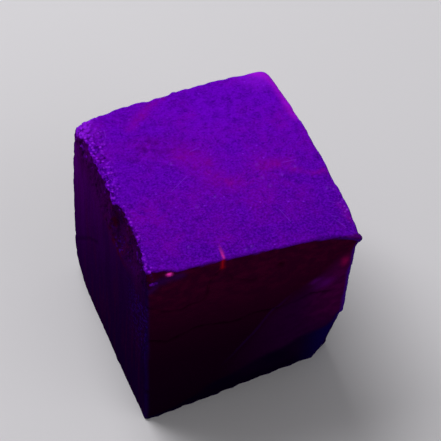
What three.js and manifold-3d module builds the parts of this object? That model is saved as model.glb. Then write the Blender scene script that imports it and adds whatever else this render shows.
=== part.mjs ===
// A cube of rough ruby, about an inch across: one stone, sawn nearly square, with worn and spalled edges.
// Its front was split along a shallow ridge, and the lower right corner of the front has broken away.
// Millimetres, +Z up. The stone stands on its sawn base, with the origin under the middle of its box.
// The front faces -Y and the left side faces -X.
import * as THREE from 'three';
import { ImprovedNoise } from 'three/addons/math/ImprovedNoise.js';
import { mergeVertices } from 'three/addons/utils/BufferGeometryUtils.js';
import Module from 'manifold-3d';

// Driving dimensions
const side = 25; // nominal edge of the cube
const gridSteps = 22; // cells along each edge of the sawn block, closer together near its edges
const edgeWear = 0.24; // radius that handling has worn on every edge
const wearVariation = 0.6; // how much that radius comes and goes, as a share of it
const wearStep = 3; // and over what distance

// How far each corner of the block stands from its place on a true cube: x, y, z. The base is sawn off flat
// at z = 0, just above the block's lower corners.
const baseTrim = 0.12;
const cornerShift = {
  leftFrontBase: [1.2, 0.2, -baseTrim],
  rightFrontBase: [-0.7, -0.7, -baseTrim],
  leftBackBase: [0.6, 0.2, -baseTrim],
  rightBackBase: [-1.0, 1.2, -baseTrim],
  leftFrontTop: [1.9, 0.7, 0.6],
  rightFrontTop: [0.2, -0.3, -0.2],
  leftBackTop: [1.2, -0.85, 0.2],
  rightBackTop: [-0.3, 0.6, -0.45],
};

// Radius that is added to the wear at the corners that are rounded off, and how far along the edges it reaches
const cornerWear = { leftBackTop: 1.35, rightBackTop: 0.7, leftBackBase: 1.2, rightBackBase: 0.8 };
const cornerReach = 2.8;

// Gentle unevenness of the faces: its height, the distance from one swell to the next, and its start
const unevenness = { sides: 0.16, splitFaces: 0.24, top: 0.06 };
const swellStep = 7;
const swellStart = new THREE.Vector3(4.3, 0, 1.7);

// How far the middles of the two sides bow out
const bow = { left: 0.15, right: 0.4 };

// The breaks: each is a rough plane through three points on the stone
const breaks = {
  frontRidge: { through: [[11, -12.75, 22.5], [-6.3, -12.6, 2.6], [12.05, -12.1, 10]], ruffle: 0.1 },
  frontFoot: { through: [[-10.9, -12.5, 0.4], [9.2, -12.6, 10.4], [9.6, -10.55, 0]], ruffle: 0.16 },
  rightFoot: { through: [[12.05, -12.2, 10.4], [9.7, -10.55, 0], [11.9, -9.1, 0]], ruffle: 0.2 },
  backFoot: { through: [[-5, 13.2, 0], [12.2, 13.4, 14], [10, 12.3, 0]], ruffle: 0.16 },
  backRidge: { through: [[-11, 11.6, 20], [-2, 12.55, 9], [-10.5, 11.8, 5]], ruffle: 0.12 },
  rightRidge: { through: [[12.45, -8, 9], [12.3, 11, 21], [11, 11.5, 3]], ruffle: 0.12 },
};
const slabWidth = 44; // width of the slab that a break takes away, wider than the stone
const slabDepth = 12; // its depth
const slabSteps = 22; // cells across its inner face
const slabRuffleStep = 2.7; // distance from one ruffle of a break to the next

// The scoops: shell-shaped chips, each the bite of a ruffled ball with these half-widths
const scoops = {
  frontSpall: { at: [-11.5, -6.8, 25.4], halves: [1.5, 4.4, 4.4], ruffle: 0.3 },
  middleSpall: { at: [-11.7, -3.4, 24.2], halves: [1.7, 2.5, 3.8], ruffle: 0.3 },
  backSpall: { at: [-12.1, 1.8, 25.0], halves: [1.45, 6.0, 3.9], ruffle: 0.3 },
  cornerSpall: { at: [-12.2, 7.7, 25.3], halves: [1.4, 3.6, 2.8], ruffle: 0.3 },
  frontCornerChip: { at: [-9.6, -12.7, 25.7], halves: [2.9, 1.25, 2.8], ruffle: 0.12 },
  leftFootChip: { at: [-13.2, 13.9, -0.3], halves: [2.6, 3.2, 3.7], ruffle: 0.15 },
};
const scoopDetail = 9; // how finely a ball is divided
const ballRuffleStep = 0.9; // distance from one ruffle of a ball to the next

// The nib at the front right corner of the top, where the block snapped off the saw: how far the corner
// flares, and over what distance
const nib = { corner: 'rightFrontTop', flare: [-0.1, -1.0, -0.25], reach: 1.8 };

// Small nicks along the edges: how many, and the range of their radii
const edgeNicks = [
  { from: 'leftBackTop', to: 'leftFrontTop', count: 8, radius: [0.3, 0.7] },
  { from: 'leftFrontTop', to: 'rightFrontTop', count: 6, radius: [0.25, 0.45] },
  { from: 'leftBackTop', to: 'rightBackTop', count: 5, radius: [0.3, 0.7] },
  { from: 'rightBackTop', to: 'rightFrontTop', count: 5, radius: [0.25, 0.55] },
  { from: 'leftFrontBase', to: 'leftFrontTop', count: 5, radius: [0.25, 0.5] },
  { from: 'leftBackBase', to: 'leftBackTop', count: 4, radius: [0.35, 0.7] },
  { from: 'rightBackBase', to: 'rightBackTop', count: 5, radius: [0.4, 1.1] },
  { from: 'rightBackBase', to: 'rightFrontBase', count: 4, radius: [0.4, 0.9] },
  { from: 'leftBackBase', to: 'rightBackBase', count: 4, radius: [0.4, 0.9] },
];
const nickStretch = 1.9; // a nick's length along its edge, as a share of its width
const nickDepth = [0.5, 0.85]; // how far a nick's middle stands outside its edge, as a share of its radius
const nickRuffle = 0.25; // roughness of a nick, as a share of its radius
const nickDetail = 2; // how finely a nick is divided
const nickSeed = 7;

const weldDistance = 1e-4; // corners closer than this are one corner

const ruby = new THREE.MeshStandardMaterial({ color: 0x5c04a0, roughness: 0.45, metalness: 0 });

const noise = new ImprovedNoise();
const wasm = await Module();
wasm.setup();

// Smooth noise between -1 and 1, with swells a step apart
function noiseAt(point, step) {
  return noise.noise(point.x / step, point.y / step, point.z / step);
}

// A corner's signs, such as (-1, -1, 1) for leftFrontTop
function cornerSigns(name) {
  return new THREE.Vector3(
    name.startsWith('left') ? -1 : 1,
    name.includes('Front') ? -1 : 1,
    name.endsWith('Base') ? -1 : 1,
  );
}

// A corner's place on the stone, with the base at z = 0
function cornerPlace(name) {
  const trueCorner = cornerSigns(name).multiplyScalar(side / 2);
  return trueCorner.add(new THREE.Vector3(...cornerShift[name])).add(new THREE.Vector3(0, 0, side / 2));
}

// A point of the true cube, centred on the origin, carried to the stone by the shifts of all eight corners
function skewed(point) {
  const placed = new THREE.Vector3();
  for (const name of Object.keys(cornerShift)) {
    const signs = cornerSigns(name);
    const share = ['x', 'y', 'z'].reduce((s, axis) => s * (0.5 + (signs[axis] * point[axis]) / side), 1);
    placed.addScaledVector(cornerPlace(name), share);
  }
  return placed;
}

// How near a point is to a place: 1 there, and next to nothing two reaches away
function nearness(point, place, reach) {
  const away = point.distanceTo(place) / reach;
  return Math.exp(-away * away);
}

// The wear radius at a point of the true cube
function wearAt(point) {
  let radius = edgeWear * (1 + wearVariation * noiseAt(point, wearStep));
  for (const [name, extra] of Object.entries(cornerWear)) {
    radius += extra * nearness(point, cornerSigns(name).multiplyScalar(side / 2), cornerReach);
  }
  return radius;
}

// A grid line's place along an edge, drawn towards the ends of the edge
function drawnToEnds(t) {
  return (side / 2) * Math.sin((Math.PI * t) / side);
}

// How much of a side's bow a point takes: all of it at the middle of the side, none at its upright edges
function bowShare(point) {
  const across = (2 * point.y) / side;
  return (1 - across * across) * Math.abs((2 * point.x) / side);
}

// The sawn block: a gridded box with rounded edges, uneven faces and its corners shifted
function sawnBlock() {
  const geometry = new THREE.BoxGeometry(side, side, side, gridSteps, gridSteps, gridSteps);
  const position = geometry.getAttribute('position');
  const point = new THREE.Vector3();
  for (let i = 0; i < position.count; i++) {
    point.fromBufferAttribute(position, i);
    point.set(drawnToEnds(point.x), drawnToEnds(point.y), drawnToEnds(point.z));
    const radius = wearAt(point);
    const reach = side / 2 - radius;
    const core = point.clone().clampScalar(-reach, reach);
    const outward = point.clone().sub(core).normalize();
    const rise =
      unevenness.splitFaces * outward.y ** 2 +
      unevenness.sides * outward.x ** 2 +
      unevenness.top * Math.max(0, outward.z) ** 2;
    const relief = rise * noiseAt(point.clone().addScaledVector(swellStart, swellStep), swellStep);
    const placed = skewed(core.addScaledVector(outward, radius)).addScaledVector(outward, relief);
    placed.x += Math.sign(point.x) * (point.x > 0 ? bow.right : bow.left) * bowShare(point);
    position.setXYZ(i, placed.x, placed.y, placed.z);
  }
  return geometry;
}

// A ball with these half-widths, its skin ruffled
function ruffledBall({ at, halves, ruffle = 0, detail = scoopDetail, turn }) {
  const middle = new THREE.Vector3(...at);
  const geometry = new THREE.IcosahedronGeometry(1, detail);
  const position = geometry.getAttribute('position');
  const point = new THREE.Vector3();
  for (let i = 0; i < position.count; i++) {
    point.fromBufferAttribute(position, i);
    const outward = point.clone();
    point.multiply(new THREE.Vector3(...halves));
    point.addScaledVector(outward, ruffle * noiseAt(point.clone().add(middle), ballRuffleStep));
    position.setXYZ(i, point.x, point.y, point.z);
  }
  if (turn) geometry.applyQuaternion(turn);
  return geometry.translate(...at);
}

// A slab that lies outside the stone, with its ruffled inner face through three points
function breakSlab({ through, ruffle }) {
  const points = through.map((p) => new THREE.Vector3(...p));
  const plane = new THREE.Plane().setFromCoplanarPoints(...points);
  if (plane.distanceToPoint(new THREE.Vector3(0, 0, side / 2)) > 0) plane.negate();
  const middle = points[0].clone().add(points[1]).add(points[2]).divideScalar(3);
  const geometry = new THREE.BoxGeometry(slabWidth, slabWidth, slabDepth, slabSteps, slabSteps, 1);
  geometry.translate(0, 0, slabDepth / 2);
  const position = geometry.getAttribute('position');
  for (let i = 0; i < position.count; i++) {
    if (position.getZ(i) > 0) continue;
    const spot = new THREE.Vector3(position.getX(i), position.getY(i), middle.x);
    position.setZ(i, ruffle * noiseAt(spot, slabRuffleStep));
  }
  geometry.applyQuaternion(
    new THREE.Quaternion().setFromUnitVectors(new THREE.Vector3(0, 0, 1), plane.normal),
  );
  return geometry.translate(middle.x, middle.y, middle.z);
}

// Everything below the base
function underBase() {
  return new THREE.BoxGeometry(slabWidth, slabWidth, slabDepth).translate(0, 0, -slabDepth / 2);
}

// A number between two limits, the same ones in each run
function chance(low, high) {
  return THREE.MathUtils.lerp(low, high, THREE.MathUtils.seededRandom());
}

// The balls that nick one edge, laid along it at uneven steps
function nicksAlong({ from, to, count, radius }) {
  const start = cornerPlace(from);
  const end = cornerPlace(to);
  const along = end.clone().sub(start).normalize();
  const outward = cornerSigns(from).add(cornerSigns(to)).normalize();
  const turn = new THREE.Quaternion().setFromUnitVectors(new THREE.Vector3(1, 0, 0), along);
  return Array.from({ length: count }, (_, i) => {
    const r = chance(...radius);
    const t = (i + chance(0, 1)) / count;
    const at = start.clone().lerp(end, t).addScaledVector(outward, r * chance(...nickDepth));
    const halves = [r * nickStretch, r, r];
    return ruffledBall({ at: at.toArray(), halves, ruffle: nickRuffle * r, detail: nickDetail, turn });
  });
}

// A closed geometry as a solid
function solidOf(geometry) {
  geometry.deleteAttribute('normal');
  geometry.deleteAttribute('uv');
  const merged = mergeVertices(geometry, weldDistance);
  return new wasm.Manifold(
    new wasm.Mesh({
      numProp: 3,
      vertProperties: merged.getAttribute('position').array,
      triVerts: new Uint32Array(merged.index.array),
    }),
  );
}

// A solid as a geometry
function geometryOf(solid) {
  const mesh = solid.getMesh();
  return new THREE.BufferGeometry()
    .setAttribute('position', new THREE.BufferAttribute(mesh.vertProperties, 3))
    .setIndex(new THREE.BufferAttribute(mesh.triVerts, 1));
}

// Draws a corner of the stone out into a nib
function flareCorner(geometry, { corner, flare, reach }) {
  const position = geometry.getAttribute('position');
  const place = cornerPlace(corner);
  const point = new THREE.Vector3();
  for (let i = 0; i < position.count; i++) {
    point.fromBufferAttribute(position, i);
    point.addScaledVector(new THREE.Vector3(...flare), nearness(point, place, reach));
    position.setXYZ(i, point.x, point.y, point.z);
  }
  return geometry;
}

// The stone: the block, less its breaks, its chips and its nicks, sawn off at the base, with its nib
function stoneGeometry() {
  THREE.MathUtils.seededRandom(nickSeed);
  let stone = solidOf(sawnBlock());
  for (const fault of Object.values(breaks)) stone = stone.subtract(solidOf(breakSlab(fault)));
  for (const chip of Object.values(scoops)) stone = stone.subtract(solidOf(ruffledBall(chip)));
  for (const nick of edgeNicks.flatMap(nicksAlong)) stone = stone.subtract(solidOf(nick));
  stone = stone.subtract(solidOf(underBase()));
  return flareCorner(geometryOf(stone), nib);
}

const geometry = stoneGeometry();
geometry.computeBoundingBox();
const middle = geometry.boundingBox.getCenter(new THREE.Vector3());
geometry.translate(-middle.x, -middle.y, 0);

const stone = new THREE.Mesh(geometry, ruby);
stone.name = 'ruby_cube';

const part = new THREE.Group();
part.add(stone);

export default part;
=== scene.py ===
import math
import bmesh
import bpy
import numpy
from mathutils import Matrix, Vector, noise
from mathutils.bvhtree import BVHTree


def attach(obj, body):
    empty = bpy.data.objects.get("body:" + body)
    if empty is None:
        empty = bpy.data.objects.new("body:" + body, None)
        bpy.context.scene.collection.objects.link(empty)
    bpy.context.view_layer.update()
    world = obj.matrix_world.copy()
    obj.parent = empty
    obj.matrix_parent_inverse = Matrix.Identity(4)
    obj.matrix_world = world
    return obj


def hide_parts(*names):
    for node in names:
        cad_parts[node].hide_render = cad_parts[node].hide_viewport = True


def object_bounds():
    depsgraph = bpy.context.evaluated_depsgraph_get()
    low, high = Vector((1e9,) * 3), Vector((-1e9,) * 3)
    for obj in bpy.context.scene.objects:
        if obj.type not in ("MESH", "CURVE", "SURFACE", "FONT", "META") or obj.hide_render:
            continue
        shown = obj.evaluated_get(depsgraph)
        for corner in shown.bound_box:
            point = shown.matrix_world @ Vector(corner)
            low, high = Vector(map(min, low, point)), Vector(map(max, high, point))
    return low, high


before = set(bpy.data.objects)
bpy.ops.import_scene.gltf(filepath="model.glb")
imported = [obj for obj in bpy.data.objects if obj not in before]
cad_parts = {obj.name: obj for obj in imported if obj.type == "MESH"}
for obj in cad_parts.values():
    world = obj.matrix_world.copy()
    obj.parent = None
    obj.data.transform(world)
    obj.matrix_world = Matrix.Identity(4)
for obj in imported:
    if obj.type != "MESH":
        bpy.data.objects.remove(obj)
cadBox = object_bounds()
mm = 0.001


def linearColour(code):
    # sRGB hex to the linear RGBA that the shader takes
    parts = [int(code[i:i + 2], 16) / 255 for i in (1, 3, 5)]
    return [c / 12.92 if c <= 0.04045 else ((c + 0.055) / 1.055) ** 2.4 for c in parts] + [1.0]


def addNode(tree, kind, inputs=None, **settings):
    node = tree.nodes.new(kind)
    for name, value in settings.items():
        setattr(node, name, value)
    for key, value in (inputs or {}).items():
        if isinstance(value, bpy.types.NodeSocket):
            tree.links.new(value, node.inputs[key])
        else:
            node.inputs[key].default_value = value
    return node


def ease(low, high, values):
    t = numpy.clip((values - low) / (high - low), 0, 1)
    return t * t * (3 - 2 * t)


def field(points, size, octaves=1, shift=0.0):
    # cloud noise whose lumps are about size mm across
    move = Vector((shift, -shift, shift * 0.5))
    return numpy.array([noise.fractal(Vector(p) / size + move, 1.0, 2.0, octaves) for p in points])


def lineDistance(across, up, line):
    # shortest distance in a plane from every point to a drawn line
    best = numpy.full(len(across), 1e9)
    for (ax, ay), (bx, by) in zip(line, line[1:]):
        length = (bx - ax) ** 2 + (by - ay) ** 2
        t = numpy.clip(((across - ax) * (bx - ax) + (up - ay) * (by - ay)) / length, 0, 1)
        best = numpy.minimum(best, numpy.hypot(across - ax - t * (bx - ax), up - ay - t * (by - ay)))
    return best


# the stone: one sawn and split block, sizes in mm
stone = {
    "voxel": 0.216,          # mesh fine enough for chips and cracks
    "weld": 0.002,
    "faceRounds": 40,        # melts the solid's broad facets, edges stay
    "grainBand": 1.0,        # how far the fine mesh runs past the crumbled rim
}
# crumbled rim along the left top edge, and how far it reaches on to the top
rim = {
    "line": [(-12.4, -10.7), (-10.9, -10.9), (-8.0, -10.55), (-5.3, -10.4), (-2.5, -10.5),
             (-0.5, -11.2), (1.3, -11.1), (4.9, -11.3), (8.3, -11.5), (12.0, -12.0)],
    "reach": [(-12.4, 1.5), (-10.5, 0.9), (-8.0, 0.7), (-3.0, 0.8),
              (1.5, 2.0), (6.0, 2.5), (9.0, 3.0), (12.0, 3.2)],
    "low": [(-12.4, 23.4), (-9.2, 22.1), (-6.7, 21.7), (-3.6, 20.6), (-1.1, 20.7),
            (1.2, 21.0), (2.8, 21.7), (6.1, 22.3), (9.0, 23.2), (12.0, 23.6)],
    "grain": 0.42,           # a broken grain's width
    "lift": 0.1,
    "tilt": 0.42,
}
# what the split front shows, drawn as x and z
front = {
    "mainCrack": [(-11.4, 14.5), (-9.05, 13.6), (-7.4, 14.2), (-5.5, 14.9), (-1.6, 14.3), (0.6, 15.0),
                  (2.3, 14.9), (3.6, 14.9), (5.6, 15.0), (7.2, 15.6), (9.5, 14.8)],
    "upperCrack": [(-11.3, 20.3), (-9.25, 19.2), (-7.4, 18.65), (-6.7, 19.2), (-5.2, 19.35), (-4.6, 20.0),
                   (-4.5, 22.0), (-3.6, 23.2), (-2.85, 24.0)],
    "sideCrack": [(-2.7, 23.1), (-1.7, 21.5), (0.2, 20.6), (2.1, 21.0)],
    "crackWidth": 0.16,
    "crackDepth": 0.15,
    "ridge": [(-6.8, 2.6), (-5.4, 4.0), (-1.5, 8.4), (0.7, 11.3), (2.5, 14.3), (4.5, 16.3), (6.1, 17.5),
              (7.7, 18.6), (9.1, 20.2), (10.6, 22.5)],
    "chipLine": [(-11.1, 22.7), (-10.0, 23.8), (-8.9, 24.2), (-7.4, 24.5)],
    "pit": (3.5, 22.2),
    # painted highlights on the long facet and a redder one by its edge: x, z, half width, half height
    "highlightSpots": [(8.8, 16.8, 1.0, 0.8), (7.6, 17.7, 0.9, 0.6)],
    "pink": (10.9, 19.8, 0.45, 0.8),
    "hackle": 0.07,          # splintery relief across the split
    "hackleSize": 1.9,
    "crumb": 0.035,          # finer crumb near the top
    "crumbSize": 0.5,
    "step": 0.07,            # height lost at each crack
}
# the lit crack that runs over the front top edge
litCrack = {
    "onTop": [(-2.62, -9.9), (-2.66, -10.7), (-2.72, -11.6), (-2.84, -12.6)],
    "onFront": [(-2.84, 25.6), (-2.9, 24.8), (-2.95, 23.9)],
    "width": 0.12,
    "depth": 0.07,
}
# a crack low on the left side, drawn as y and z
leftCrack = [(11.4, 5.2), (8.6, 8.6), (5.6, 12.0), (2.9, 14.4)]
# the sawn top: almost flat, with a few scratches, drawn as x and y
sawn = {
    "wave": 0.012,
    "waveSize": 0.7,
    "scratches": [
        ((-4.92, -1.47), (-2.54, 0.17)), ((7.85, -1.2), (9.45, -1.26)), ((5.11, -7.26), (5.64, -9.34)),
        ((10.11, -10.36), (10.88, -11.78)), ((10.63, -8.02), (11.08, -8.32)), ((10.07, -9.91), (10.62, -10.24)),
        ((-1.05, 3.38), (0.08, 3.64)), ((-8.86, 9.36), (-9.03, 8.15)),
    ],
    "scratchWidth": 0.08,
    "specks": [(7.2, -2.83), (-5.68, -9.24), (-0.17, -11.33), (0.57, -11.15), (5.17, -0.64), (5.39, -3.92),
               (-3.59, 2.35), (-3.02, -4.31), (-0.73, -3.58), (5.0, -2.58), (8.97, -2.18), (11.09, -6.07)],
    "speckSize": 0.14,
    "veins": [               # reddish veins and stains with their half widths
        ([(-5.97, 8.74), (-4.45, 10.17), (-2.91, 11.29), (-1.5, 12.0)], 0.55),
        ([(8.6, -2.52), (10.69, -3.66), (12.3, -3.72)], 0.4),
        ([(-2.2, 3.2), (-1.19, 2.34), (-0.2, 1.6)], 1.3),
        ([(0.0, -0.4), (0.72, -1.19), (1.6, -2.2)], 1.2),
        ([(5.6, -0.7), (6.76, -1.01), (8.2, -1.6)], 0.8),
        ([(11.4, -8.8), (11.9, -10.8)], 0.4),
    ],
    "dabs": (-4.9, 5.3, 3.4, 2.0),   # dull patch: x, y and half widths
    # painted highlight along the back right rim
    "brightRim": [(9.8, 12.6), (11.0, 11.9), (11.5, 10.4), (11.7, 8.6), (11.7, 6.4), (11.9, 4.8)],
    "rimHighlightWidth": 0.55,
    "roughRim": [(11.6, -6.5), (12.0, -9.0), (12.0, -11.3), (11.0, -12.3)],   # painted sparkle on the grainy rim by the nib
}
# edge wear, and a painted glint in the broken corner by the left front
wear = {
    "nibble": 0.11,
    "nibbleSize": 0.9,
    "glint": (-8.65, -12.1, 24.85),
    "glintSize": (0.25, 0.5, 0.13),
}


def copyStone():
    bm = bmesh.new()
    bm.from_mesh(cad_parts["ruby_cube"].data)
    bmesh.ops.remove_doubles(bm, verts=bm.verts, dist=stone["weld"] * mm)
    bmesh.ops.scale(bm, vec=(1 / mm, 1 / mm, 1 / mm), verts=bm.verts)  # carved in millimetres
    rough = bpy.data.meshes.new("rubyRough")
    bm.to_mesh(rough)
    solid = BVHTree.FromBMesh(bm)
    bm.free()
    ruby = bpy.data.objects.new("ruby", rough)
    bpy.context.collection.objects.link(ruby)
    fine = ruby.modifiers.new("fine", "REMESH")
    fine.mode = "VOXEL"
    fine.voxel_size = stone["voxel"]
    fine.adaptivity = 0
    shaped = bpy.data.meshes.new_from_object(ruby.evaluated_get(bpy.context.evaluated_depsgraph_get()))
    ruby.modifiers.clear()
    ruby.data = shaped
    shaped.name = "ruby"
    bpy.data.meshes.remove(rough)
    for v in shaped.vertices:  # voxel steps come off, every point goes back on to the solid
        v.co = solid.find_nearest(v.co)[0]
    return ruby


def rimMask(points):
    # how crumbled each point is: all of the spalled side, fading out over the top
    x, y, z = points.T
    edgeX = numpy.interp(y, *zip(*rim["line"]))
    reach = numpy.interp(y, *zip(*rim["reach"]))
    low = numpy.interp(y, *zip(*rim["low"]))
    ragged = field(points, 1.1, 3, 4.0)
    onTop = 1 - ease(0.25, 1.0, (x - edgeX) / reach + 0.45 * ragged)
    onSide = ease(-0.5, 0.6, z - low + 0.9 * ragged)
    return numpy.clip(onTop * onSide * ease(-6.0, -8.0, x), 0, 1)


def refineRim(ruby):
    # smaller faces where the broken grains are
    bm = bmesh.new()
    bm.from_mesh(ruby.data)
    lowY, lowZ = zip(*rim["low"])
    lineY, lineX = zip(*rim["line"])
    reachY, reachX = zip(*rim["reach"])

    def crumbled(v):
        x, y, z = v.co
        deep = z > numpy.interp(y, lowY, lowZ) - stone["grainBand"]
        return deep and x < numpy.interp(y, lineY, lineX) + numpy.interp(y, reachY, reachX) + 0.3

    near = {v for v in bm.verts if v.co.z > 19 and v.co.x < -6 and crumbled(v)}
    edges = [e for e in bm.edges if e.verts[0] in near and e.verts[1] in near]
    bmesh.ops.subdivide_edges(bm, edges=edges, cuts=1, use_grid_fill=True)
    bm.to_mesh(ruby.data)
    bm.free()


def carveStone(ruby):
    mesh = ruby.data
    count = len(mesh.vertices)
    ends = numpy.empty(len(mesh.edges) * 2, dtype=numpy.int32)
    mesh.edges.foreach_get("vertices", ends)
    heads, tails = ends.reshape(-1, 2).T
    links = numpy.bincount(heads, minlength=count) + numpy.bincount(tails, minlength=count)

    def blur(values, rounds, share=0.5):
        for _ in range(rounds):
            mean = numpy.empty_like(values)
            for k in range(values.shape[1]):
                column = values[:, k]
                mean[:, k] = (numpy.bincount(heads, column[tails], count)
                              + numpy.bincount(tails, column[heads], count)) / links
            values = values + share * (mean - values)
        return values

    def readNormals(points):
        mesh.vertices.foreach_set("co", points.astype(numpy.float32).ravel())
        mesh.update()
        flat = numpy.empty(count * 3, dtype=numpy.float32)
        mesh.vertex_normals.foreach_get("vector", flat)
        return flat.reshape(-1, 3).astype(float)

    points = numpy.empty(count * 3, dtype=numpy.float32)
    mesh.vertices.foreach_get("co", points)
    points = points.reshape(-1, 3).astype(float)
    onBase = points[:, 2] < 0.05
    normals = readNormals(points)

    # broad facets melt into gently uneven faces, edges and chips keep their shape
    broad = blur(normals, 14)
    broad /= numpy.linalg.norm(broad, axis=1)[:, None]
    bend = blur((1 - (normals * broad).sum(1))[:, None], 4)[:, 0]
    keep = ease(0.006, 0.03, bend)[:, None]
    points = points * keep + blur(points, stone["faceRounds"]) * (1 - keep)
    points = blur(points, 1, 0.35)
    normals = readNormals(points)
    broad = blur(normals, 20)
    broad /= numpy.linalg.norm(broad, axis=1)[:, None]
    print("faces melted,", count, "points")

    x, y, z = points.T
    onTop = ease(0.55, 0.9, broad[:, 2]) * ease(20, 22, z)
    onFront = ease(0.4, 0.8, -broad[:, 1]) * (1 - onTop)
    onSplit = ease(0.4, 0.8, numpy.abs(broad[:, 1])) * (1 - onTop)
    onLeft = ease(0.4, 0.8, -broad[:, 0]) * (1 - onTop)
    onSides = ease(0.4, 0.8, numpy.abs(broad[:, 0])) * (1 - onTop)
    crumbled = rimMask(points)

    # the split front: bands that step down at each crack, and a long facet on the right
    upperZ = numpy.interp(x, *zip(*front["upperCrack"][:4]))
    mainZ = numpy.interp(x, *zip(*front["mainCrack"]))
    aboveUpper = ease(-0.15, 0.15, z - upperZ) * onFront * ease(-3.6, -5.0, x)
    aboveMain = ease(-0.15, 0.15, z - mainZ) * onFront
    rightOf = numpy.interp(x, *zip(*front["ridge"])) - z
    facet = ease(-0.3, 0.6, rightOf) * ease(-7.2, -5.0, x) * onFront
    # painted light: the long facet lit purple from the right
    facetPaintedLight = ease(-0.3, 1.0, rightOf / (2.0 + 2.0 * ease(14, 18, z))) * facet   # softer higher up
    # painted shade on faces that point down under the overhang
    undercut = ease(0.1, 0.2, -broad[:, 2]) * numpy.maximum(onSplit, 0.3 * onSides) * ease(14, 11.5, z)
    edgeX = numpy.interp(y, *zip(*rim["line"]))
    spalled = ease(0.15, -0.25, x - edgeX + 0.35 * field(points, 0.9, 3, 6.0)) * ease(19.5, 20.5, z)

    lift = numpy.zeros(count)
    stretched = points * numpy.array((0.45, 0.8, 1.0))
    lift += front["hackle"] * field(stretched, front["hackleSize"], 4, 1.0) * onSplit * (1 - 0.4 * facet)
    crumb = field(points, front["crumbSize"], 2, 2.0) * (0.35 + 0.65 * ease(17, 23, z))
    lift += front["crumb"] * crumb * onSplit
    lift += front["step"] * (aboveUpper - 0.6 * (1 - aboveMain) * onFront)
    lift += 0.035 * field(points * numpy.array((1, 1, 0.5)), 1.6, 3, 3.0) * onSides
    lift += sawn["wave"] * field(points, sawn["waveSize"], 2, 5.0) * onTop

    # cracks, with a ragged line
    swayX, swayZ = 0.16 * field(points, 0.8, 2, 7.0), 0.16 * field(points, 0.8, 2, 9.0)
    gap = lineDistance(x + swayX, z + swayZ, front["mainCrack"]) / front["crackWidth"]
    crack = numpy.exp(-gap ** 2) * onFront
    gap = lineDistance(x + swayX, z + swayZ, front["upperCrack"]) / front["crackWidth"]
    crack = numpy.maximum(crack, 0.8 * numpy.exp(-gap ** 2) * onFront)
    gap = lineDistance(x + swayX, z + swayZ, front["sideCrack"]) / front["crackWidth"]
    crack = numpy.maximum(crack, 0.5 * numpy.exp(-gap ** 2) * onFront)
    crack *= 0.55 + 0.45 * ease(-0.3, 0.3, field(points, 1.3, 2, 13.0))
    gap = lineDistance(y + swayX, z + swayZ, leftCrack) / front["crackWidth"]
    crack = numpy.maximum(crack, 0.6 * numpy.exp(-gap ** 2) * onLeft)
    pitX, pitZ = front["pit"]
    crack = numpy.maximum(crack, numpy.exp(-((x - pitX) ** 2 + (z - pitZ) ** 2) / 0.12) * onFront)
    gap = lineDistance(x + 0.6 * swayX, y, litCrack["onTop"]) / litCrack["width"]
    litTop = numpy.exp(-gap ** 2) * onTop * ease(-9.6, -11.4, y)
    gap = lineDistance(x + 0.6 * swayX, z, litCrack["onFront"]) / (1.6 * litCrack["width"])
    litFront = numpy.exp(-gap ** 2) * onFront
    lift -= front["crackDepth"] * crack + litCrack["depth"] * (litTop + litFront)

    # painted light: faint lines of light along the facet's ridge, a lit band in the broken corner, and painted
    # highlights on the long facet
    gap = lineDistance(x + 0.5 * swayX, z + 0.5 * swayZ, front["ridge"])
    ridgeLine = numpy.exp(-(gap / 0.14) ** 2) * onFront * ease(6, 11, z) * ease(17.5, 15.0, z)
    gap = lineDistance(x + swayX, z + swayZ, front["chipLine"])
    chipGlow = numpy.exp(-(gap / 0.45) ** 2) * onFront
    blush = numpy.zeros(count)
    for spotX, spotZ, wide, tall in front["highlightSpots"]:
        away = ((x + 2 * swayX - spotX) / wide) ** 2 + ((z + 2 * swayZ - spotZ) / tall) ** 2
        blush = numpy.maximum(blush, numpy.exp(-away) * facet)
    pinkX, pinkZ, wide, tall = front["pink"]
    pink = numpy.exp(-((x + swayX - pinkX) / wide) ** 2 - ((z + swayZ - pinkZ) / tall) ** 2) * onFront

    # specks and reddish veins of the top
    speck = numpy.zeros(count)
    for spotX, spotY in sawn["specks"]:
        away = ((x - spotX) ** 2 + (y - spotY) ** 2) / sawn["speckSize"] ** 2
        speck = numpy.maximum(speck, numpy.exp(-away) * onTop)
    vein = numpy.zeros(count)
    for line, width in sawn["veins"]:
        gap = lineDistance(x + 2 * swayX, y + 2 * swayZ, line) / width
        vein = numpy.maximum(vein, numpy.exp(-gap ** 2) * onTop)
    dabX, dabY, wide, tall = sawn["dabs"]
    dabs = numpy.exp(-((x - dabX) / wide) ** 2 - ((y - dabY) / tall) ** 2) * onTop
    gap = lineDistance(x + swayX, y + swayZ, sawn["brightRim"]) / sawn["rimHighlightWidth"]
    brightRim = numpy.exp(-gap ** 2) * ease(0.15, 0.5, broad[:, 2])
    # painted sparkle along the grainy rim by the nib
    gap = lineDistance(x + swayX, y + swayZ, sawn["roughRim"]) / sawn["rimHighlightWidth"]
    roughRim = numpy.exp(-gap ** 2) * onTop * ease(-0.2, 0.3, field(points, 0.8, 2, 15.0))
    nib = ease(-12.55, -12.85, y + swayX) * ease(9.2, 10.4, x)   # the nib has lost its sawn skin

    # convex rims lose small bites to wear, and the same edge mask places painted rim light
    soft = blur(points, 40)
    convex = ((points - soft) * normals).sum(1)
    wearAndRimLight = ease(0.07, 0.24, convex)
    bites = numpy.clip(field(points, wear["nibbleSize"], 3, 11.0), 0, 1)
    lift -= wear["nibble"] * wearAndRimLight * bites * (1 - crumbled)

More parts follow.
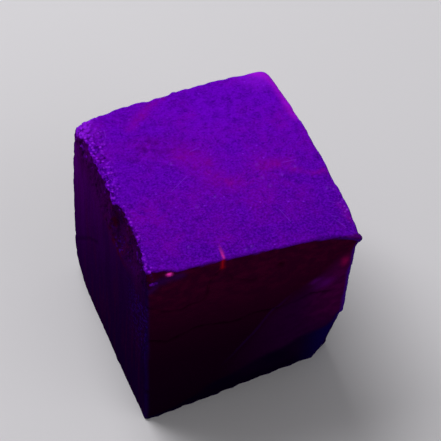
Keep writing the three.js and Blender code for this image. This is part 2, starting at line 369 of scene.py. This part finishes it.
    # sugary broken grains: each one has its own height and slope
    grainy = numpy.nonzero(crumbled > 0.02)[0]
    for i in grainy:
        place = Vector(points[i]) / rim["grain"]
        home = noise.voronoi(place)[1][0]
        turn = noise.cell_vector(home * 7.31) * 2 - Vector((1, 1, 1))
        lift[i] += crumbled[i] * rim["lift"] * (turn.x + rim["tilt"] * turn.dot(place - home) * 2 - 0.3)

    # painted glint in the broken corner
    away = ((points - numpy.array(wear["glint"])) / numpy.array(wear["glintSize"])) ** 2
    glint = numpy.exp(-away.sum(1))

    points = points + normals * lift[:, None]
    low, high = numpy.array(cadBox[0]) / mm, numpy.array(cadBox[1]) / mm
    points = numpy.clip(points, low + 1e-5, high - 1e-5)
    points[onBase, 2] = 0.0
    facing = blur(readNormals(points), 1)
    up = facing[:, 2]

    # painted light and shade: the sides darken downwards and towards the front
    drop = (12 - y) + 0.927 * (25 - z)
    paintedSideLight = numpy.clip((44.7 - drop) / 41.4, 0, 1) ** 3.1
    # painted rim light along the right side's edge
    rightEdgeLight = ease(0.05, 0.17, convex) * ease(8.5, 10.0, x) * (1 - onTop) * ease(0.45, 0.2, up)
    marks = {                # where each colour lies, read by the material
        # the top's violet where it faces up: partly its frosted sawn finish, partly painted light from above
        "sawn": ease(0.4, 0.72, up) * ease(22.6, 23.8, z) * (1 - spalled) * (1 - nib),
        # painted shade: the top darkens towards the front and towards the left
        "leftward": ease(3, -10, x),
        "ahead": ease(9, -13, y),
        "violet": onSides,
        "sideGlow": onSides * paintedSideLight,
        # painted light and shade: the split faces lighter from the middle up, darkest near the bottom
        "middle": ease(9, 19, z) * onSplit,
        "upper": ease(15, 25, z) * numpy.maximum(onSplit, nib),
        "lower": ease(11, 3, z) * onSplit,
        # painted light on the long facet and its edge
        "facet": facetPaintedLight * ease(-4, 8, x) * ease(21.5, 18.0, z),
        "facetEdge": facetPaintedLight * ease(5.5, 10.5, x) * ease(8, 12, z) * ease(22.5, 19.0, z),
        "blush": blush,
        "pink": pink,
        "ridgeLine": ridgeLine,
        "chipGlow": chipGlow,
        # painted shade under the overhang, bluer towards the right
        "undercut": undercut,
        "blue": undercut * ease(6.0, 11.0, x),
        "spall": spalled * ease(-11.5, -6.5, y) * ease(18.5, 24.5, z + field(points, 1.2, 2, 17.0)),
        "spallMiddle": spalled * ease(4.5, 1.0, numpy.abs(y + 2.5)),
        # painted shade: the trench's up-facing floor darkened against the light from above
        "floor": spalled * ease(0.25, 0.75, up),
        # painted light and sparkle on grains that face up, brightest near the left back corner
        "beads": crumbled * ease(0.3, 0.75, up) * (1 - spalled),
        "dimBeads": spalled * ease(0.35, 0.7, up) * ease(2.0, -5.0, y),
        "edgeBeads": onLeft * ease(-5.0, -9.5, y) * ease(8, 16, z) * (1 - spalled),
        "corner": ease(4.5, 1.0, numpy.hypot(x + 11.5, y - 11.5)),
        # painted highlight on the back right corner
        "farCorner": ease(4.0, 0.5, numpy.hypot(x - 10.4, y - 12.6)) * ease(0.2, 0.5, up),
        "crack": crack,
        "litTop": litTop,
        "litFront": litFront,
        "speck": speck,
        "vein": vein,
        "dabs": dabs,
        "brightRim": brightRim,
        "roughRim": roughRim,
        # painted rim light on the top and side edges
        "topRim": wearAndRimLight * ease(22, 23.5, z) * ease(0.35, 0.6, up),
        "sideRim": wearAndRimLight * ease(23.5, 22, z),
        "rightRim": rightEdgeLight * ease(2, -6, y) * ease(6, 9, z),
        "glint": glint,
    }
    for name, values in marks.items():
        mesh.attributes.new(name, "FLOAT", "POINT").data.foreach_set("value", values.astype(numpy.float32))
    print("stone carved,", len(grainy), "points on broken grains")


def finishStone(ruby):
    bm = bmesh.new()
    bm.from_mesh(ruby.data)
    bmesh.ops.scale(bm, vec=(mm, mm, mm), verts=bm.verts)
    for face in bm.faces:
        face.smooth = True
    bm.to_mesh(ruby.data)
    triangles = sum(len(face.verts) - 2 for face in bm.faces)
    bm.free()
    ruby.data.update()
    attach(ruby, "root")
    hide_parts("ruby_cube")
    print("stone finished,", triangles, "triangles")


# ruby corundum, sawn and frosted on top, split on the sides: a matt violet face, its violet partly painted
# light, with painted sparkle on its rims, over dark wine and indigo breaks
rubyFinish = {
    "ior": 1.77,
    "specular": 0.0,         # the sides mirror nothing, so they stay dark over a pale floor
    "patterns": {            # kind, lump sizes in mm, octaves, and the range that shows
        "clouds": ("noise", (4.5, 4.5, 4.5), 4.0, 0.42, 0.66),
        "mottle": ("noise", (0.9, 0.9, 0.9), 4.0, 0.45, 0.66),
        "blots": ("noise", (0.5, 0.5, 0.5), 2.0, 0.54, 0.7),
        "frost": ("noise", (0.24, 0.24, 0.24), 2.0, 0.4, 0.72),
        "grit": ("noise", (0.55, 0.55, 0.55), 3.0, 0.42, 0.7),
        "clots": ("noise", (1.3, 1.3, 0.9), 3.0, 0.45, 0.62),
        "streaks": ("noise", (1.0, 0.9, 9.0), 3.0, 0.46, 0.64),
        "shades": ("noise", (2.2, 1.6, 12.0), 2.0, 0.48, 0.64),
        "specks": ("cells", (1.5, 1.5, 1.5), 0.0, 0.1, 0.04),
        # painted sparkle dots, used on grains and rims
        "sparkle": ("cells", (0.42, 0.42, 0.42), 0.0, 0.5, 0.15),
        "pits": ("cells", (0.38, 0.38, 0.38), 0.0, 0.5, 0.8),
    },
    "ground": "#190016",
    "coats": [               # colour, marks and patterns that place it, how strong
        # painted light and shade on the split faces: lighter in the middle, darker low down
        ("#28001c", ("middle",), 1.0),
        ("#140016", ("lower",), 0.8),
        ("#380027", ("upper",), 0.5),
        ("#460224", ("upper", "grit"), 0.3),
        ("#52032c", ("upper", "clots"), 0.35),
        # painted light on the long facet and its edge; the clots on it vary its tone
        ("#2c0036", ("facet",), 0.8),
        ("#4c0042", ("facetEdge",), 0.75),
        ("#1e0024", ("facet", "clots"), 0.4),
        # painted highlights on the long facet
        ("#540470", ("blush",), 0.6),
        ("#8c024c", ("pink",), 0.8),
        # painted shade under the overhang, bluer towards the right
        ("#08001a", ("undercut",), 0.9),
        ("#140460", ("blue",), 0.5),
        ("#16002a", ("violet",), 1.0),
        # painted light on the sides, brightest high up at the back
        ("#520174", ("sideGlow",), 1.0),
        ("#3c0222", ("violet", "streaks"), 0.2),
        ("#120024", ("violet", "shades"), 0.25),
        # painted light along the facet's ridge and in the broken corner
        ("#4a0a9c", ("ridgeLine",), 0.08),
        ("#2a0a64", ("chipGlow",), 0.4),
        # painted rim light on the side edges and the right edge
        ("#2c0c9c", ("sideRim",), 0.08),
        ("#3c0c88", ("rightRim",), 0.8),
        ("#3a0248", ("spall",), 0.85),
        ("#3c0214", ("spallMiddle", "clots"), 0.8),
        # painted shade on the up-facing floor of the spalled trench
        ("#200130", ("floor",), 0.7),
        # painted sparkle on grains in the spalled trench and beside the left front edge
        ("#4a10b4", ("dimBeads", "sparkle"), 0.5),
        ("#3a10a0", ("edgeBeads", "sparkle"), 0.3),
        # the top's violet: partly its frosted sawn finish, partly painted light from above
        ("#6602c2", ("sawn",), 1.0),
        # painted shade on the top, darker towards the front and towards the left
        ("#42018a", ("sawn", "ahead"), 0.85),
        ("#48018c", ("sawn", "leftward"), 0.25),
        ("#76029e", ("sawn", "clouds"), 0.6),
        ("#42018e", ("sawn", "mottle"), 0.6),
        ("#38007a", ("sawn", "blots"), 0.55),
        ("#7a0cdc", ("sawn", "frost"), 0.6),
        ("#8a24f0", ("sawn", "specks"), 0.5),
        ("#4a0070", ("dabs", "clots"), 0.6),
        ("#8c0494", ("vein", "mottle"), 0.4),
        ("#8c0494", ("vein",), 0.25),
        # painted rim light along the top edges
        ("#7c0cd8", ("topRim",), 0.2),
        # painted light and sparkle on the crumbled rim's up-facing grains
        ("#a020f8", ("beads", "corner"), 0.6),
        ("#28004a", ("beads", "pits"), 0.75),
        ("#a424ff", ("beads", "sparkle"), 0.8),
        # painted highlights on the back right corner and rim
        ("#9a18e8", ("farCorner",), 0.45),
        ("#b414e0", ("brightRim",), 0.55),
        ("#b040f0", ("roughRim", "sparkle"), 0.5),
        ("#8a34f0", ("sawn", "scratch"), 0.3),
        ("#9a44f4", ("speck",), 0.3),
        ("#0a0008", ("crack",), 0.7),
        ("#e0309c", ("litTop",), 0.85),
        ("#b80c18", ("litFront",), 0.75),
        # painted glint in the broken corner
        ("#ff60e0", ("glint",), 1.0),
    ],
    "glintGlow": ("#ff30c0", "glint", 4.0),   # painted glint: the spot glows by emission
    "roughness": 0.5,
    "roughCoats": [(0.65, ("sawn",), 1.0), (0.4, ("spall",), 0.8), (0.6, ("grit",), 0.3)],
    "bumps": [("frost", 0.02), ("grit", 0.04)],   # mm of height
}


def makeRuby():
    ruby = bpy.data.materials.new("ruby corundum, sawn and split")
    ruby.use_nodes = True
    tree = ruby.node_tree
    tree.nodes.clear()
    place = addNode(tree, "ShaderNodeTexCoord").outputs["Object"]
    masks = {}
    kinds = {"noise": ("ShaderNodeTexNoise", "Fac"), "cells": ("ShaderNodeTexVoronoi", "Distance")}
    for name, (kind, sizes, octaves, low, high) in rubyFinish["patterns"].items():
        nodeKind, result = kinds[kind]
        scaled = addNode(tree, "ShaderNodeVectorMath", {0: place, 1: tuple(1 / (s * mm) for s in sizes)},
                         operation="MULTIPLY")
        lumps = addNode(tree, nodeKind, {"Vector": scaled.outputs[0], "Scale": 1.0, "Detail": octaves})
        spread = addNode(tree, "ShaderNodeMapRange",
                         {"Value": lumps.outputs[result], "From Min": low, "From Max": high})
        masks[name] = spread.outputs["Result"]
    flat = addNode(tree, "ShaderNodeVectorMath", {0: place, 1: (1 / mm, 1 / mm, 0)}, operation="MULTIPLY")
    nearest = 1e3
    for (ax, ay), (bx, by) in sawn["scratches"]:   # distance to the nearest scratch
        run = Vector((bx - ax, by - ay, 0))
        offset = addNode(tree, "ShaderNodeVectorMath", {0: flat.outputs[0], 1: (ax, ay, 0)},
                         operation="SUBTRACT")
        along = addNode(tree, "ShaderNodeVectorMath",
                        {0: offset.outputs[0], 1: tuple(run / run.length_squared)}, operation="DOT_PRODUCT")
        share = addNode(tree, "ShaderNodeClamp", {"Value": along.outputs["Value"]})
        foot = addNode(tree, "ShaderNodeVectorMath", {0: tuple(run), "Scale": share.outputs[0]},
                       operation="SCALE")
        gap = addNode(tree, "ShaderNodeVectorMath", {0: offset.outputs[0], 1: foot.outputs[0]},
                      operation="DISTANCE")
        closer = addNode(tree, "ShaderNodeMath", {0: gap.outputs["Value"], 1: nearest}, operation="MINIMUM")
        nearest = closer.outputs[0]
    line = addNode(tree, "ShaderNodeMapRange",
                   {"Value": nearest, "From Min": sawn["scratchWidth"], "From Max": 0.0})
    masks["scratch"] = line.outputs["Result"]
    names = {n for coat in rubyFinish["coats"] + rubyFinish["roughCoats"] for n in coat[1]}
    for name in sorted(names - set(masks)):
        masks[name] = addNode(tree, "ShaderNodeAttribute", attribute_name=name).outputs["Fac"]

    def strength(marks, amount):
        share = addNode(tree, "ShaderNodeMath", {0: masks[marks[0]], 1: amount}, operation="MULTIPLY")
        for mark in marks[1:]:
            share = addNode(tree, "ShaderNodeMath", {0: share.outputs[0], 1: masks[mark]}, operation="MULTIPLY")
        return share.outputs[0]

    colour = linearColour(rubyFinish["ground"])
    for code, marks, amount in rubyFinish["coats"]:
        coat = addNode(tree, "ShaderNodeMix", {0: strength(marks, amount), 6: colour, 7: linearColour(code)},
                       data_type="RGBA")
        colour = coat.outputs[2]
    rough = rubyFinish["roughness"]
    for level, marks, amount in rubyFinish["roughCoats"]:
        coat = addNode(tree, "ShaderNodeMix", {0: strength(marks, amount), 2: rough, 3: level},
                       data_type="FLOAT")
        rough = coat.outputs[0]
    relief = None
    for name, height in rubyFinish["bumps"]:
        bump = addNode(tree, "ShaderNodeBump", {"Height": masks[name], "Distance": height * mm})
        if relief:
            tree.links.new(relief, bump.inputs["Normal"])
        relief = bump.outputs["Normal"]
    code, mark, power = rubyFinish["glintGlow"]
    glintGlow = addNode(tree, "ShaderNodeMix", {0: masks[mark], 6: (0, 0, 0, 1), 7: linearColour(code)},
                    data_type="RGBA")
    body = addNode(tree, "ShaderNodeBsdfPrincipled", {
        "Base Color": colour, "Roughness": rough, "Normal": relief,
        "IOR": rubyFinish["ior"], "Specular IOR Level": rubyFinish["specular"],
        "Emission Color": glintGlow.outputs[2], "Emission Strength": power,
    })
    addNode(tree, "ShaderNodeOutputMaterial", {"Surface": body.outputs[0]})
    return ruby


# studio: pale floor, one large soft light behind and above, a weak fill, even surround
studio = {
    "floorSize": 3.0,
    "floorColour": "#dedce0",
    "lights": [              # place in metres, width, watts
        ("key", (-0.10, 0.26, 0.40), 0.30, 1.75),
        ("fill", (0.25, -0.35, 0.30), 0.40, 0.35),
    ],
    "surround": 0.22,
}


def makeStudio():
    bm = bmesh.new()
    bmesh.ops.create_grid(bm, x_segments=1, y_segments=1, size=studio["floorSize"] / 2)
    mesh = bpy.data.meshes.new("floor")
    bm.to_mesh(mesh)
    bm.free()
    floor = bpy.data.objects.new("floor", mesh)
    bpy.context.collection.objects.link(floor)
    paper = bpy.data.materials.new("matt paper floor")
    paper.use_nodes = True
    body = paper.node_tree.nodes["Principled BSDF"]
    body.inputs["Base Color"].default_value = linearColour(studio["floorColour"])
    body.inputs["Roughness"].default_value = 0.9
    mesh.materials.append(paper)
    for name, place, width, watts in studio["lights"]:
        lamp = bpy.data.lights.new(name, "AREA")
        lamp.size = width
        lamp.energy = watts
        light = bpy.data.objects.new(name, lamp)
        light.location = place
        light.rotation_euler = (Vector((0, 0, 0.012)) - Vector(place)).to_track_quat("-Z", "Y").to_euler()
        bpy.context.collection.objects.link(light)
    world = bpy.data.worlds.new("studio")
    world.use_nodes = True
    world.node_tree.nodes["Background"].inputs["Color"].default_value = (1, 1, 1, 1)
    world.node_tree.nodes["Background"].inputs["Strength"].default_value = studio["surround"]
    bpy.context.scene.world = world
    bpy.context.scene.view_settings.view_transform = "Standard"
    print("studio set")


# camera at the photograph's angle, for a square frame
camera = {
    "azimuth": -21.5,
    "elevation": 50.64,
    "roll": 1.57,
    "distance": 202.0,
    "aim": (1.14, -0.606, 16.99),
    "lens": 149.3,
    "sensor": 36.0,
}


def makeCamera():
    data = bpy.data.cameras.new("camera")
    data.lens = camera["lens"]
    data.sensor_width = camera["sensor"]
    data.clip_start = 0.01
    eye = bpy.data.objects.new("camera", data)
    turn, rise, roll = (math.radians(camera[k]) for k in ("azimuth", "elevation", "roll"))
    back = Vector((math.sin(turn) * math.cos(rise), -math.cos(turn) * math.cos(rise), math.sin(rise)))
    level = Vector((math.cos(turn), math.sin(turn), 0))
    up = back.cross(level)
    across = level * math.cos(roll) + up * math.sin(roll)
    above = up * math.cos(roll) - level * math.sin(roll)
    spot = (Vector(camera["aim"]) + back * camera["distance"]) * mm
    eye.matrix_world = Matrix.Translation(spot) @ Matrix((across, above, back)).transposed().to_4x4()
    bpy.context.collection.objects.link(eye)
    bpy.context.scene.camera = eye
    print("camera set")


makeCamera()
rubyStone = copyStone()
refineRim(rubyStone)
carveStone(rubyStone)
finishStone(rubyStone)
rubyStone.data.materials.append(makeRuby())
makeStudio()
